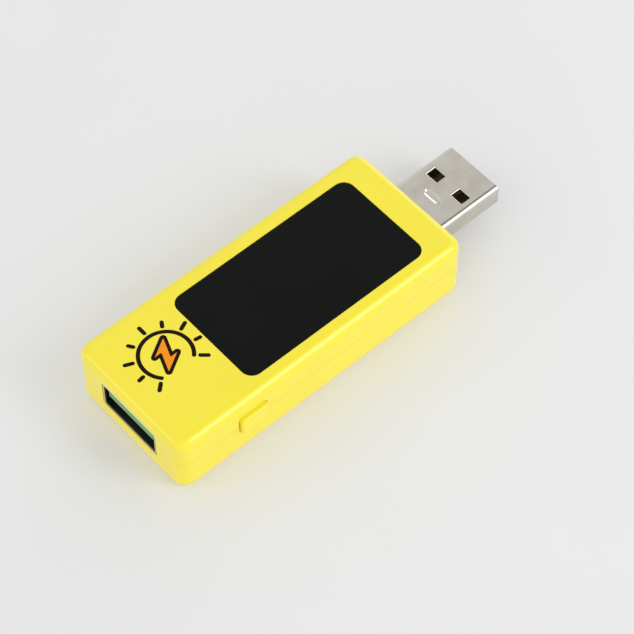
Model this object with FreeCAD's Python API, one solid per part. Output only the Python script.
"""USB power meter: a two-shell plastic case with a display, one side button,
a USB-A plug at the +X end and a USB-A socket at the -X end.

Frame: origin at the centre of the case's flat underside, +X along the case
towards the plug, +Z up through the display. The button is on the -Y side.
All sizes are in millimetres.
"""
import FreeCAD, Part
import math
import os

V = FreeCAD.Vector
AXES = {"x": V(1, 0, 0), "y": V(0, 1, 0), "z": V(0, 0, 1)}

# Case
case_length = 60.6
case_width = 26.2
case_height = 13.1
corner_radius = 2.4
top_edge_radius = 1.8
bottom_edge_radius = 2.0
wall = 1.4
floor_thickness = 1.3
roof_thickness = 1.6
inner_corner_radius = 1.2
seam_z = 7.5
seam_groove = 0.06
lip_thickness = 0.6
lip_height = 0.8
lip_gap = 0.1
opening_edge_radius = 0.2

# Display window and the recess it is glued into
window_length = 37.8
window_width = 20.0
window_thickness = 0.95
window_corner_radius = 2.1
window_edge_chamfer = 0.08
window_centre_x = 5.4
window_centre_y = -0.3
window_gap = 0.05
window_sink = 0.03
ledge_width = 1.2
adhesive_thickness = 0.15
adhesive_inset = 0.15

# Circuit board and the posts that hold it
board_thickness = 1.2
board_top = 4.0
board_bottom = board_top - board_thickness
board_left = -28.5
board_right = 25.9
board_half_width = 11.4
post_x = 24.5
post_y = 9.6
post_radius = 1.2
pin_radius = 0.6
pin_hole_radius = 0.7
pin_height = 0.8
post_gap = 0.1

# USB-A plug
plug_width = 12.0
plug_height = 4.5
plug_wall = 0.3
plug_corner_radius = 0.85
plug_length = 19.1
plug_tip = 45.2
plug_back = plug_tip - plug_length
plug_z = 5.55
plug_hole_length = 1.95
plug_hole_width = 2.5
plug_hole_x = 39.08
plug_hole_y = 3.05
plug_hole_rim_radius = 0.24
dimple_x = 35.55
dimple_length = 3.9
dimple_width = 1.6
dimple_depth = 0.22
dimple_side_taper = 0.5
dimple_end_taper = 0.34
plug_opening_gap = 0.15
contact_pitches = (-3.5, -1.0, 1.0, 3.5)
contact_width = 1.0
contact_thickness = 0.25
plug_lug_length = 2.1
plug_lug_bottom = 2.1
insulator_recess = 0.5
insulator_back_length = 4.5
moulding_gap = 0.03

# USB-A socket
socket_inner_width = 12.5
socket_inner_height = 5.1
socket_wall = 0.3
socket_width = socket_inner_width + 2 * socket_wall
socket_height = socket_inner_height + 2 * socket_wall
socket_corner_radius = 0.6
socket_length = 14.0
socket_recess = 0.15
socket_front = -case_length / 2 + socket_recess
socket_back = socket_front + socket_length
socket_z = board_top + socket_height / 2
socket_opening_gap = 0.15
tongue_width = 11.1
tongue_thickness = 1.84
tongue_recess = 0.35
tongue_edge_chamfer = 0.1
tongue_block_length = 2.5
leg_length = 2.1
leg_width = 1.2

# Side button and the switch behind it
button_length = 5.6
button_height = 3.75
button_x = -15.4
button_z = 7.75
button_proud = 0.75
button_corner_radius = 0.65
button_edge_radius = 0.3
button_gap = 0.06
button_flange = 0.8
button_flange_thickness = 0.6
button_rest_gap = 0.1
button_travel = 0.25
switch_size = 6.0
switch_front = -10.2
switch_cover_thickness = 0.2
switch_back = -6.9
plunger_radius = 1.7
plunger_gap = 0.08

# Display stack
holder_left = -11.2
holder_right = 23.0
holder_half_width = 9.6
holder_bottom = 8.0
holder_plate = 0.6
holder_rim = 0.6
holder_top = 11.4
panel_bottom = 9.95
panel_layer = 0.7
flex_width = 11.0
flex_thickness = 0.12


def block(x0, x1, y0, y1, z0, z1):
    """A box given by its limits."""
    return Part.makeBox(x1 - x0, y1 - y0, z1 - z0, V(x0, y0, z0))


def block_at(x, y, z, length, width, height):
    """A box centred on a point."""
    corner = V(x - length / 2, y - width / 2, z - height / 2)
    return Part.makeBox(length, width, height, corner)


def edges_along(shape, axis):
    """Straight edges that run parallel to one axis."""
    found = []
    for edge in shape.Edges:
        if len(edge.Vertexes) == 2:
            run = edge.Vertexes[1].Point - edge.Vertexes[0].Point
            if run.cross(AXES[axis]).Length < 1e-6 * run.Length:
                found.append(edge)
    return found


def edges_in(shape, x=None, y=None, z=None):
    """Edges whose boxes lie inside the given (low, high) limits."""
    found = []
    for edge in shape.Edges:
        b = edge.BoundBox
        spans = ((x, b.XMin, b.XMax), (y, b.YMin, b.YMax), (z, b.ZMin, b.ZMax))
        if all(lim is None or (lo > lim[0] - 1e-4 and hi < lim[1] + 1e-4) for lim, lo, hi in spans):
            found.append(edge)
    return found


def rounded(shape, axis, radius):
    """The shape with its edges along one axis rounded."""
    return shape.makeFillet(radius, edges_along(shape, axis))


def union(shapes):
    """One solid made of several that touch or overlap."""
    result = shapes[0]
    for shape in shapes[1:]:
        result = result.fuse(shape)
    return result.removeSplitter()


def cut_all(shape, cutters):
    """The shape with every cutter taken away."""
    for cutter in cutters:
        shape = shape.cut(cutter)
    return shape


def save(name, shape):
    """Write one named piece."""
    shape.exportStep("parts/" + name + ".step")


# ---------------------------------------------------------------- case

def case_block(inset, z0, z1):
    """An upright block with the case's outline, moved inwards by inset."""
    x = case_length / 2 - inset
    y = case_width / 2 - inset
    radius = max(corner_radius - inset, inner_corner_radius)
    return rounded(block(-x, x, -y, y, z0, z1), "z", radius)


def case_outer():
    """The outside of the closed case, with soft edges all round."""
    form = case_block(0, 0, case_height)
    form = form.makeFillet(top_edge_radius, edges_in(form, z=(case_height, case_height)))
    return form.makeFillet(bottom_edge_radius, edges_in(form, z=(0, 0)))


def ring(inset_outer, inset_inner, z0, z1):
    """An upright wall that follows the case's outline."""
    return case_block(inset_outer, z0, z1).cut(case_block(inset_inner, z0 - 1, z1 + 1))


def window_block(grow, z0, z1):
    """An upright block with the window's outline, grown by an amount each way."""
    x = window_length / 2 + grow
    y = window_width / 2 + grow
    form = block(window_centre_x - x, window_centre_x + x, window_centre_y - y, window_centre_y + y, z0, z1)
    return rounded(form, "z", max(window_corner_radius + grow, 0.5))


def socket_opening(grow, depth):
    """The hole in the -X wall around the socket."""
    x0 = -case_length / 2 - 1
    size = V(depth + 1, socket_width + 2 * grow, socket_height + 2 * grow)
    form = block_at(x0 + size.x / 2, 0, socket_z, size.x, size.y, size.z)
    return rounded(form, "x", socket_corner_radius + grow)


def plug_opening(grow, depth):
    """The hole in the +X wall around the plug."""
    x1 = case_length / 2 + 1
    size = V(depth + 1, plug_width + 2 * grow, plug_height + 2 * grow)
    form = block_at(x1 - size.x / 2, 0, plug_z, size.x, size.y, size.z)
    return rounded(form, "x", plug_corner_radius + grow)


def button_opening(grow, depth):
    """The hole in the -Y wall around the button."""
    y0 = -case_width / 2 - 1
    size = V(button_length + 2 * grow, depth + 1, button_height + 2 * grow)
    form = block_at(button_x, y0 + size.y / 2, button_z, size.x, size.y, size.z)
    return rounded(form, "y", button_corner_radius + grow)


def closed_case():
    """The hollow case before it is split, with its three side openings."""
    inner = case_block(wall, floor_thickness, case_height - roof_thickness)
    form = case_outer().cut(inner)
    form = form.cut(socket_opening(socket_opening_gap, wall + 0.5))
    form = form.cut(plug_opening(plug_opening_gap, wall + 0.5))
    form = form.cut(button_opening(button_gap, wall + 0.5))
    end = case_length / 2
    side = case_width / 2
    soft = edges_in(form, x=(-end, -end), y=(-7, 7), z=(3, 10.5))
    soft += edges_in(form, x=(end, end), y=(-7, 7), z=(3, 10.5))
    soft += edges_in(form, y=(-side, -side), x=(button_x - 4, button_x + 4), z=(5, 10.5))
    form = form.makeFillet(opening_edge_radius, soft)
    groove = ring(-1, seam_groove, seam_z - seam_groove / 2, seam_z + seam_groove / 2)
    return form.cut(groove)


def lip(outer_inset, inner_inset, height):
    """The upstand on the lower shell's rim, left out at the three openings."""
    form = ring(outer_inset, inner_inset, seam_z, seam_z + height)
    cutters = (
        socket_opening(0.5, wall + 1),
        plug_opening(0.5, wall + 1),
        button_opening(1.2, wall + 1),
    )
    return cut_all(form, cutters)


def posts(z0, z1, radius):
    """Four round posts at the board's corners."""
    made = []
    for x in (-post_x, post_x):
        for y in (-post_y, post_y):
            made.append(Part.makeCylinder(radius, z1 - z0, V(x, y, z0)))
    return made


def bottom_shell(case):
    """Lower half of the case, with its lip, board posts and locating pins."""
    form = case.common(block(-40, 40, -20, 20, -1, seam_z))
    form = form.fuse(lip(wall - lip_thickness, wall, lip_height))
    form = union([form] + posts(floor_thickness, board_bottom, post_radius))
    return union([form] + posts(floor_thickness, board_top + pin_height, pin_radius))


def top_shell(case):
    """Upper half of the case, with the window recess and hold-down posts."""
    form = case.common(block(-40, 40, -20, 20, seam_z, case_height + 1))
    rebate = ring(wall - lip_thickness - lip_gap, wall + 1, seam_z, seam_z + lip_height + lip_gap)
    roof_bottom = case_height - roof_thickness
    form = form.cut(rebate)
    form = union([form] + posts(board_top + post_gap, roof_bottom, post_radius))
    form = cut_all(form, posts(board_top, board_top + pin_height + 0.5, pin_hole_radius))
    recess_floor = case_height - window_sink - window_thickness - adhesive_thickness
    form = form.cut(window_block(window_gap, recess_floor, case_height + 1))
    form = form.cut(window_block(-ledge_width, roof_bottom - 1, case_height + 1))
    return form


def display_window():
    """Dark glossy lens, a hair below the top of the case."""
    top = case_height - window_sink
    form = window_block(0, top - window_thickness, top)
    return form.makeChamfer(window_edge_chamfer, edges_in(form, z=(top, top)))


def window_adhesive():
    """Double-sided tape frame under the edge of the lens."""
    top = case_height - window_sink - window_thickness
    outer = window_block(-adhesive_inset, top - adhesive_thickness, top)
    return outer.cut(window_block(-ledge_width, top - 1, top + 1))


# ---------------------------------------------------------------- plug

def plug_tube(inset, x0, x1):
    """The plug's outline as a block, moved inwards by inset."""
    form = block_at((x0 + x1) / 2, 0, plug_z, x1 - x0, plug_width - 2 * inset, plug_height - 2 * inset)
    return rounded(form, "x", plug_corner_radius - inset)


def oblong(x, y, z, length, width):
    """A flat slot-shaped outline, long in Y."""
    half = length / 2 - width / 2
    r = width / 2
    arc_far = Part.Arc(V(x + r, y + half, z), V(x, y + half + r, z), V(x - r, y + half, z))
    arc_near = Part.Arc(V(x - r, y - half, z), V(x, y - half - r, z), V(x + r, y - half, z))
    side_a = Part.LineSegment(V(x - r, y + half, z), V(x - r, y - half, z))
    side_b = Part.LineSegment(V(x + r, y - half, z), V(x + r, y + half, z))
    parts = [arc_far, side_a, arc_near, side_b]
    return Part.Wire([part.toShape() for part in parts])


def dimple(grow, drop):
    """A tapered slot-shaped dent in the plug's upper face."""
    top = plug_z + plug_height / 2 - drop
    upper = oblong(dimple_x, 0, top + 0.02, dimple_length + 2 * grow, dimple_width + 2 * grow)
    low_length = dimple_length - 2 * dimple_end_taper + 2 * grow
    low_width = dimple_width - 2 * dimple_side_taper + 2 * grow
    lower = oblong(dimple_x, 0, top - dimple_depth, low_length, low_width)
    return Part.makeLoft([upper, lower], True)


def plug_holes():
    """Latch holes through the plug's upper and lower faces."""
    height = plug_height + 2
    made = []
    for y in (-plug_hole_y, plug_hole_y):
        made.append(block_at(plug_hole_x, y, plug_z, plug_hole_length, plug_hole_width, height))
    return made


def hole_rims(form):
    """The outer edges of the four latch holes."""
    x_range = (plug_hole_x - plug_hole_length / 2, plug_hole_x + plug_hole_length / 2)
    rims = []
    for side in (-1, 1):
        z = plug_z + side * plug_height / 2
        rims += edges_in(form, x=x_range, z=(z, z))
    return rims


def plug_shell():
    """Folded steel shell of the plug, with its holes, dimple, seam and solder lugs."""
    form = plug_tube(0, plug_back, plug_tip)
    form = form.makeFillet(0.12, edges_in(form, x=(plug_tip, plug_tip)))
    form = form.cut(plug_tube(plug_wall, plug_back - 1, plug_tip + 1))
    form = form.fuse(dimple(0.2, plug_wall))
    form = form.cut(dimple(0, 0))
    form = cut_all(form, plug_holes())
    form = form.makeFillet(plug_hole_rim_radius, hole_rims(form))
    slit = block(plug_back - 1, plug_tip + 1, -0.04, 0.04, 0, plug_z)
    form = form.cut(slit)
    lugs = []
    for side in (-1, 1):
        y0 = side * (plug_width / 2 - plug_wall)
        y1 = side * plug_width / 2
        y_low, y_high = min(y0, y1), max(y0, y1)
        lugs.append(block(plug_back - plug_lug_length, plug_back + 0.2, y_low, y_high, 4.6, 6.4))
        foot_x = plug_back - plug_lug_length
        lugs.append(block(foot_x, foot_x + 1.0, y_low, y_high, plug_lug_bottom, 6.4))
    return union([form] + lugs)


def plug_contacts():
    """Four spring contacts, each with a tail soldered to the top of the board."""
    made = []
    top = plug_z + 0.1
    low = top - contact_thickness
    foot_top = board_top + contact_thickness
    for y in contact_pitches:
        reach = plug_tip - (1.2 if abs(y) > 2 else 2.2)
        y0 = y - contact_width / 2
        y1 = y + contact_width / 2
        strip = block(plug_back - 0.75, reach, y0, y1, low, top)
        drop = block(plug_back - 0.75, plug_back - 0.5, y0, y1, board_top, top)
        foot = block(plug_back - 2.4, plug_back - 0.5, y0, y1, board_top, foot_top)
        made.append(union([strip, drop, foot]))
    return Part.makeCompound(made)


def plug_insulator(contacts):
    """Moulded carrier that fills the lower half of the plug."""
    front = plug_tip - insulator_recess
    inset = plug_wall + moulding_gap
    blade = plug_tube(inset, plug_back, front).common(block(0, plug_tip, -10, 10, 0, plug_z))
    back = plug_tube(inset, plug_back, plug_back + insulator_back_length)
    form = union([blade, back])
    form = form.makeChamfer(0.3, edges_in(form, x=(front, front), z=(plug_z, plug_z)))
    return form.cut(contacts)


# ---------------------------------------------------------------- socket

def socket_tube(inset, x0, x1):
    """The socket's outline as a block, moved inwards by inset."""
    form = block_at((x0 + x1) / 2, 0, socket_z, x1 - x0, socket_width - 2 * inset, socket_height - 2 * inset)
    return rounded(form, "x", socket_corner_radius - inset)


def socket_shell():
    """Folded steel shell of the socket, with grip springs and solder legs."""
    form = socket_tube(0, socket_front, socket_back)
    form = form.cut(socket_tube(socket_wall, socket_front - 1, socket_back - socket_wall))
    top = board_top + socket_height
    for y in (-3.1, 3.1):
        for z in (board_top, top):
            form = form.cut(spring_slot(y, z))
    pin_slot = block(socket_back - 2.0, socket_back - 0.6, -4.4, 4.4, board_top - 1, board_top + 1)
    form = form.cut(pin_slot)
    return union([form] + socket_legs() + spring_bumps())


def spring_slot(y, z):
    """A U-shaped slit that frees one grip spring from the shell."""
    x0 = socket_front + 2.6
    x1 = x0 + 5.6
    frame = block(x0, x1, y - 1.5, y + 1.5, z - 0.5, z + 0.5)
    finger = block(x0 + 0.35, x1 + 1, y - 1.1, y + 1.1, z - 1, z + 1)
    return frame.cut(finger)


def spring_bumps():
    """The rounded bumps on the springs that press on a plug."""
    made = []
    for y in (-3.1, 3.1):
        for z, side in ((board_top + socket_wall, -1), (board_top + socket_height - socket_wall, 1)):
            centre = V(socket_front + 4.0, y - 0.9, z + side * 0.55)
            bump = Part.makeCylinder(0.8, 1.8, centre, V(0, 1, 0))
            limit = z if side < 0 else z - 0.25
            keep = block(socket_front, socket_back, -6, 6, limit, limit + 0.25)
            made.append(bump.common(keep))
    return made


def socket_legs():
    """Four legs that go down through the board."""
    made = []
    for x in (socket_front + 2.65, socket_front + 9.65):
        for side in (-1, 1):
            y = side * (socket_width / 2 - socket_wall / 2)
            low = board_bottom - 0.9
            high = board_top + 1.2
            made.append(block_at(x, y, (low + high) / 2, leg_width, socket_wall, high - low))
    return made


def socket_contacts():
    """Four contacts under the tongue, each with a pin down through the board."""
    made = []
    top = socket_z + 0.05
    low = top - contact_thickness
    pin_x = socket_back - 1.3
    front = socket_front + tongue_recess + 0.6
    for y in contact_pitches:
        y0 = y - contact_width / 2
        y1 = y + contact_width / 2
        strip = block(front, pin_x + contact_thickness, y0, y1, low, top)
        pin = block(pin_x, pin_x + contact_thickness, y - 0.3, y + 0.3, board_bottom - 0.9, top)
        made.append(union([strip, pin]))
    return Part.makeCompound(made)


def socket_tongue(contacts):
    """Moulded tongue and the block that holds it in the back of the socket."""
    low = socket_z + 0.05
    front = socket_front + tongue_recess
    block_back = socket_back - socket_wall
    blade = block(front, socket_back - 1, -tongue_width / 2, tongue_width / 2,
                  low - 0.01, low + tongue_thickness)
    blade = blade.makeChamfer(tongue_edge_chamfer, edges_in(blade, x=(front, front)))
    back = socket_tube(socket_wall + moulding_gap, block_back - tongue_block_length, block_back)
    return union([blade, back]).cut(contacts)


# ---------------------------------------------------------------- button and switch

def button_cap():
    """Side button: a soft-edged cap with a flange that keeps it in the case."""
    outside = -case_width / 2 - button_proud
    inside = -case_width / 2 + wall + button_rest_gap
    cap = block(button_x - button_length / 2, button_x + button_length / 2, outside, inside + 0.1,
                button_z - button_height / 2, button_z + button_height / 2)
    cap = rounded(cap, "y", button_corner_radius)
    cap = cap.makeFillet(button_edge_radius, edges_in(cap, y=(outside, outside)))
    flange = block_at(button_x, inside + button_flange_thickness / 2, button_z,
                      button_length + 2 * button_flange, button_flange_thickness,
                      button_height + 2 * button_flange)
    return union([cap, rounded(flange, "y", 0.6)])


def switch_box(y0, y1, inset=0.0):
    """A block with the switch's square outline."""
    half = switch_size / 2 - inset
    return block(button_x - half, button_x + half, y0, y1, button_z - half, button_z + half)


def along_y(radius, y0, y1):
    """A round bar on the switch's axis."""
    return Part.makeCylinder(radius, y1 - y0, V(button_x, y0, button_z), V(0, 1, 0))


def switch_plunger():
    """The round stem that the button pushes, with a wider foot inside the switch."""
    tip = -case_width / 2 + wall + button_rest_gap + button_flange_thickness + 0.02
    stem = along_y(plunger_radius, tip, switch_front + switch_cover_thickness + 0.5)
    foot = along_y(plunger_radius + 0.4, switch_front + switch_cover_thickness + 0.05,
                   switch_front + switch_cover_thickness + 0.7)
    return union([stem, foot])


def switch_body():
    """Black base of the switch, hollow behind the plunger."""
    front = switch_front + switch_cover_thickness
    form = switch_box(front, switch_back)
    form = form.cut(along_y(plunger_radius + 0.4 + plunger_gap, front - 1, front + 1.6))
    return form.cut(switch_terminals())


def switch_cover():
    """Steel front plate of the switch, with two side tabs folded back."""
    front = switch_front
    plate = switch_box(front, front + switch_cover_thickness)
    tabs = []
    for side in (-1, 1):
        z = button_z + side * (switch_size / 2 + switch_cover_thickness / 2)
        mid = (front + front + 1.8) / 2
        tabs.append(block_at(button_x, mid, z, 3.0, 1.8, switch_cover_thickness))
    form = union([plate] + tabs)
    return form.cut(along_y(plunger_radius + plunger_gap, front - 1, front + 1))


def switch_dome():
    """Thin sprung disc that clicks and pushes the plunger back."""
    rim = switch_front + switch_cover_thickness + 1.6
    height = 0.35
    radius = plunger_radius + 0.3
    sphere_radius = (radius * radius + height * height) / (2 * height)
    centre = V(button_x, rim - height + sphere_radius, button_z)
    cap = Part.makeSphere(sphere_radius, centre).cut(Part.makeSphere(sphere_radius - 0.08, centre))
    return cap.common(along_y(radius, rim - 1, rim))


def switch_terminals():
    """Four flat legs from the base down through the board."""
    made = []
    low = board_bottom - 0.9
    for side in (-1, 1):
        for y in (switch_front + 0.9, switch_back - 0.6):
            x = button_x + side * 2.25
            high = button_z - switch_size / 2 + 0.8
            made.append(block_at(x, y, (low + high) / 2, 0.7, 0.25, high - low))
    return Part.makeCompound(made)


# ---------------------------------------------------------------- display stack

def display_holder():
    """Open tray on four legs that holds the display over the board."""
    y0 = window_centre_y - holder_half_width
    y1 = window_centre_y + holder_half_width
    tray = block(holder_left, holder_right, y0, y1, holder_bottom, holder_top)
    hollow = block(holder_left + holder_rim, holder_right - holder_rim, y0 + holder_rim, y1 - holder_rim,
                   holder_bottom + holder_plate, holder_top + 1)
    flex_gap = block(holder_left - 1, holder_left + 1, -flex_width / 2 - 0.4, flex_width / 2 + 0.4,
                     panel_bottom + 0.4, holder_top + 1)
    tray = tray.cut(hollow).cut(flex_gap)
    legs = []
    for x in (holder_left + 1.5, holder_right - 3.6):
        for y in (y0 + 1.2, y1 - 1.2):
            legs.append(block_at(x, y, (board_top + holder_bottom + 0.2) / 2, 1.8, 1.8,
                                 holder_bottom + 0.2 - board_top))
    return union([tray] + legs)


def tray_block(x0, x1, side_gap, z0, z1):
    """A block centred across the display tray."""
    half = holder_half_width - holder_rim - side_gap
    return block(x0, x1, window_centre_y - half, window_centre_y + half, z0, z1)


def backlight_guide():
    """Clear plate that spreads light under the display."""
    floor_z = holder_bottom + holder_plate
    form = tray_block(holder_left + holder_rim + 0.2, holder_right - 1.7, 0.2, floor_z, panel_bottom)
    return rounded(form, "z", 0.5)


def backlight_led():
    """The light source at the end of the guide."""
    floor_z = holder_bottom + holder_plate
    x = holder_right - 1.15
    return block_at(x, window_centre_y, floor_z + 0.6, 0.8, 3.0, 1.2)


def lcd_panel():
    """Two bonded glass layers, the lower one longer to carry the cable."""
    left = holder_left + holder_rim + 0.15
    right = holder_right - holder_rim - 0.15
    lower = tray_block(left, right, 0.15, panel_bottom, panel_bottom + panel_layer)
    upper = tray_block(left + 2.6, right, 0.15, panel_bottom + panel_layer, panel_bottom + 2 * panel_layer)
    return union([lower, upper])


def lcd_flex_cable():
    """Flat cable from the glass round and down to the board."""
    t = flex_thickness
    bend = 0.8
    start_x = holder_left + 2.9
    outer_x = holder_left - 1.0
    top = panel_bottom + panel_layer + t
    low = board_top
    half = flex_width / 2
    upper = block(outer_x + bend, start_x, -half, half, top - t, top)
    down = block(outer_x, outer_x + t, -half, half, low + bend, top - bend)
    foot = block(outer_x + bend, outer_x + 4.2, -half, half, low, low + t)
    bends = []
    for z, z0, z1 in ((top - bend, top - bend, top), (low + bend, low, low + bend)):
        axis = V(outer_x + bend, -half, z)
        tube = Part.makeCylinder(bend, flex_width, axis, V(0, 1, 0))
        tube = tube.cut(Part.makeCylinder(bend - t, flex_width, axis, V(0, 1, 0)))
        bends.append(tube.common(block(outer_x, outer_x + bend, -half, half, z0, z1)))
    return union([upper, down, foot] + bends)


# ---------------------------------------------------------------- board and its parts

def circuit_board(pins):
    """The board, with its post holes, lug notches and pin holes."""
    form = block(board_left, board_right, -board_half_width, board_half_width, board_bottom, board_top)
    form = rounded(form, "z", 1.0)
    form = cut_all(form, posts(board_bottom - 1, board_top + 1, pin_hole_radius))
    for pin in pins:
        b = pin.BoundBox
        form = form.cut(block(b.XMin - 0.12, b.XMax + 0.12, b.YMin - 0.12, b.YMax + 0.12,
                              board_bottom - 1, board_top + 1))
    return form


def board_pins():
    """The stretches of every leg, lug and pin that pass through the board."""
    slab = block(-40, board_right, -20, 20, board_bottom - 0.9, board_top)
    shapes = [plug_shell(), socket_contacts(), switch_terminals()] + socket_legs()
    made = []
    for shape in shapes:
        made += [solid for solid in shape.common(slab).Solids if solid.Volume > 0.01]
    return made


def solder_joints(pins):
    """A small cone of solder round each pin, under the board."""
    made = []
    for pin in pins:
        b = pin.BoundBox
        reach = max(b.XLength, b.YLength) / 2
        centre = V(b.Center.x, b.Center.y, board_bottom - 0.6)
        cone = Part.makeCone(reach + 0.1, reach + 0.4, 0.6, centre)
        made.append(cone.cut(pin))
    return Part.makeCompound(made)


def microcontroller():
    """Moulded chip with ten leads on each long side."""
    x = 3.0
    y = 1.5
    body = block_at(x, y, board_top + 0.6, 6.5, 4.4, 0.9)
    body = body.makeChamfer(0.1, edges_in(body, z=(board_top + 1.05, board_top + 1.05)))
    leads = []
    for side in (-1, 1):
        for i in range(10):
            lead_x = x + (i - 4.5) * 0.65
            foot = block_at(lead_x, y + side * 2.85, board_top + 0.06, 0.25, 0.6, 0.12)
            rise = block_at(lead_x, y + side * 2.6, board_top + 0.33, 0.25, 0.12, 0.66)
            knee = block_at(lead_x, y + side * 2.4, board_top + 0.6, 0.25, 0.5, 0.12)
            leads += [foot, rise, knee]
    return union([body] + leads)


def voltage_regulator():
    """Five-lead regulator beside the plug."""
    x = 14.0
    y = 5.5
    body = block_at(x, y, board_top + 0.6, 2.9, 1.6, 1.0)
    leads = []
    for dx, side in ((-0.95, -1), (0, -1), (0.95, -1), (-0.95, 1), (0.95, 1)):
        foot = block_at(x + dx, y + side * 1.2, board_top + 0.08, 0.4, 0.5, 0.16)
        rise = block_at(x + dx, y + side * 0.95, board_top + 0.35, 0.4, 0.16, 0.7)
        knee = block_at(x + dx, y + side * 0.85, board_top + 0.6, 0.4, 0.36, 0.16)
        leads += [foot, rise, knee]
    return union([body] + leads)


def shunt_resistor():
    """Wide resistor whose small voltage drop gives the current."""
    body = block_at(14.0, -4.0, board_top + 0.3, 6.3, 3.1, 0.6)
    return body.makeChamfer(0.08, edges_along(body, "y"))


def chip_parts(places, length, width, height):
    """A group of small two-ended chip parts."""
    made = []
    for x, y in places:
        made.append(block_at(x, y, board_top + height / 2, length, width, height))
    return Part.makeCompound(made)


def chip_capacitors():
    """Ceramic capacitors round the regulator and the controller."""
    places = [(17.0, y) for y in (3.8, 5.6, 7.4)] + [(-2.6, y) for y in (0.4, 2.4)] + [(8.4, 1.6)]
    return chip_parts(places, 2.0, 1.25, 0.8)


def chip_resistors():
    """Small resistors of the measuring and button circuits."""
    places = [(x, -3.6) for x in (-2.0, 0.6, 3.2, 5.8)] + [(x, -5.6) for x in (-2.0, 0.6, 3.2, 5.8)]
    return chip_parts(places, 1.6, 0.8, 0.45)


def build():
    """Make every piece and write it out."""
    os.makedirs("parts", exist_ok=True)
    case = closed_case()
    contacts_plug = plug_contacts()
    contacts_socket = socket_contacts()
    pins = board_pins()
    pieces = {
        "bottom_shell": bottom_shell(case),
        "top_shell": top_shell(case),
        "display_window": display_window(),
        "window_adhesive": window_adhesive(),
        "lcd_panel": lcd_panel(),
        "lcd_flex_cable": lcd_flex_cable(),
        "backlight_guide": backlight_guide(),
        "backlight_led": backlight_led(),
        "display_holder": display_holder(),
        "circuit_board": circuit_board(pins),
        "solder_joints": solder_joints(pins),
        "plug_shell": plug_shell(),
        "plug_insulator": plug_insulator(contacts_plug),
        "plug_contacts": contacts_plug,
        "socket_shell": socket_shell(),
        "socket_tongue": socket_tongue(contacts_socket),
        "socket_contacts": contacts_socket,
        "button_cap": button_cap(),
        "switch_plunger": switch_plunger(),
        "switch_body": switch_body(),
        "switch_cover": switch_cover(),
        "switch_dome": switch_dome(),
        "switch_terminals": switch_terminals(),
        "microcontroller": microcontroller(),
        "voltage_regulator": voltage_regulator(),
        "shunt_resistor": shunt_resistor(),
        "chip_capacitors": chip_capacitors(),
        "chip_resistors": chip_resistors(),
    }
    for name, shape in pieces.items():
        save(name, shape)
        print(name, "solids", len(shape.Solids), "valid", shape.isValid(), "volume", round(shape.Volume, 2))


build()
